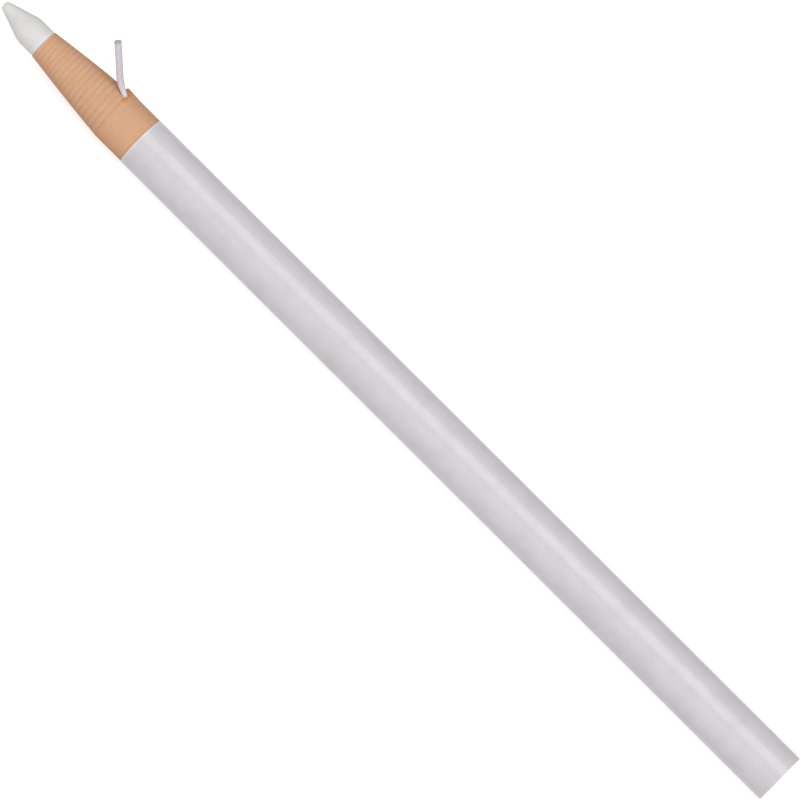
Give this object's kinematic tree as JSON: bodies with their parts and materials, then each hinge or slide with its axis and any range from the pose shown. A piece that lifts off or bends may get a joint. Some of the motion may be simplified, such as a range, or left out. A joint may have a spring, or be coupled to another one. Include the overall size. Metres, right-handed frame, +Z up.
{
  "type": "china marker",
  "caption": "Peel-off china marker: a pointed white wax core in a rolled kraft paper barrel with a coated white cover and a pull string that slits the paper.",
  "frame": {"origin": "centre of the flat rear end, on the marker's axis", "axes": "+X along the axis towards the point, +Z up, towards the side where the string comes out"},
  "size_m": [0.175, 0.0091, 0.0164],
  "materials": {
    "wax": "satin",
    "kraft_paper": "matte",
    "coated_paper": "satin",
    "cotton_string": "matte"
  },
  "bodies": {
    "barrel": {"wax_core": "wax", "collar_01": "kraft_paper", "collar_02": "kraft_paper", "collar_03": "kraft_paper", "collar_04": "kraft_paper", "collar_05": "kraft_paper", "collar_06": "kraft_paper", "collar_07": "kraft_paper", "collar_08": "kraft_paper", "collar_09": "kraft_paper", "collar_10": "kraft_paper", "collar_11": "kraft_paper", "collar_12": "kraft_paper", "collar_13": "kraft_paper", "collar_14": "kraft_paper", "collar_15": "kraft_paper", "collar_16": "kraft_paper", "collar_17": "kraft_paper", "collar_18": "kraft_paper", "collar_19": "kraft_paper", "collar_20": "kraft_paper", "collar_21": "kraft_paper", "collar_22": "kraft_paper", "collar_23": "kraft_paper", "collar_24": "kraft_paper", "collar_25": "kraft_paper", "ply_band": "kraft_paper", "tear_strip": "kraft_paper", "ply_sleeve": "kraft_paper", "cover": "coated_paper", "string_run": "cotton_string"},
    "nose_rear": {"nose_collar_rear": "kraft_paper"},
    "nose_front": {"nose_collar_front": "kraft_paper"},
    "string_foot": {"string_foot": "cotton_string"},
    "string_tail": {"string_tail": "cotton_string"}
  },
  "joints": [
    {"name": "nose_rear_peel", "type": "slide", "parent": "barrel", "child": "nose_rear", "axis": [1, 0, 0], "range_m": [0, 0.0255]},
    {"name": "nose_front_peel", "type": "slide", "parent": "nose_rear", "child": "nose_front", "axis": [1, 0, 0], "range_m": [0, 0.0195]},
    {"name": "string_pull", "type": "slide", "parent": "barrel", "child": "string_foot", "axis": [-1, 0, 0], "range_m": [0, 0.0054], "deforming": ["tear_strip", "string_run"]},
    {"name": "string_swing", "type": "hinge", "parent": "string_foot", "child": "string_tail", "pos_m": [0.15069, 0, 0.00477], "axis": [0, -1, 0], "range_deg": [-42, 108], "deforming": ["string_foot"]}
  ]
}
